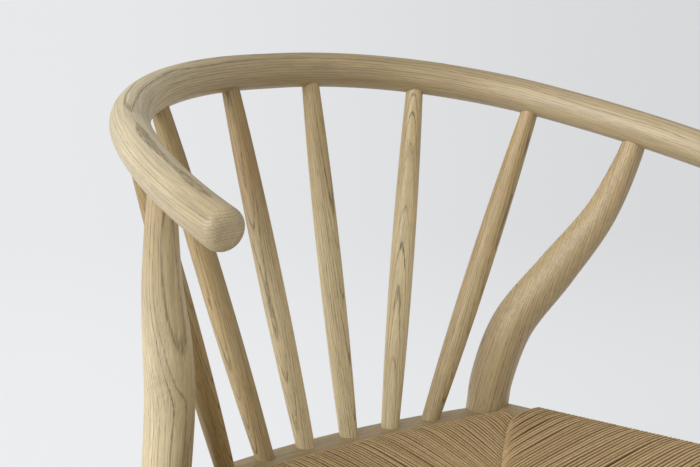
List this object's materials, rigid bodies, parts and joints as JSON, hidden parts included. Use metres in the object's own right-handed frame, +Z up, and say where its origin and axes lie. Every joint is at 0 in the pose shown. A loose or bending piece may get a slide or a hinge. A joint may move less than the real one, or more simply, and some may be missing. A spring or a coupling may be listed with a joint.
{
  "type": "armchair",
  "caption": "Spindle-back armchair with one bent bow for back and arms, S-shaped rear legs, turned stretchers and a woven paper-cord seat.",
  "frame": {"origin": "on the floor, under the middle of the chair's overall box", "axes": "+Z up, -Y is the way the chair faces, +X is the sitter's left"},
  "size_m": [0.5602, 0.5212, 0.7598],
  "materials": {
    "bow_wood": "soaped pale ash, fine long grain",
    "leg_wood": "soaped pale ash, cathedral grain",
    "spindle_wood": "soaped pale ash, fine dark pores",
    "rail_wood": "soaped pale ash",
    "paper_cord": "twisted natural paper cord, matt",
    "glide_plastic": "natural nylon"
  },
  "bodies": {
    "root": {"arm_bow": "bow_wood", "spindle_1": "spindle_wood", "spindle_2": "spindle_wood", "spindle_3": "spindle_wood", "spindle_4": "spindle_wood", "spindle_5": "spindle_wood", "spindle_6": "spindle_wood", "rear_leg_left": "leg_wood", "rear_leg_right": "leg_wood", "front_leg_left": "leg_wood", "front_leg_right": "leg_wood", "spindle_rail": "rail_wood", "rear_cord_rail": "rail_wood", "front_rail": "rail_wood", "side_rail_left": "rail_wood", "side_rail_right": "rail_wood", "side_stretcher_left": "spindle_wood", "side_stretcher_right": "spindle_wood", "front_stretcher": "spindle_wood", "back_stretcher": "spindle_wood", "cord_seat": "paper_cord", "front_glide_left": "glide_plastic", "front_glide_right": "glide_plastic", "rear_glide_left": "glide_plastic", "rear_glide_right": "glide_plastic"}
  },
  "joints": []
}
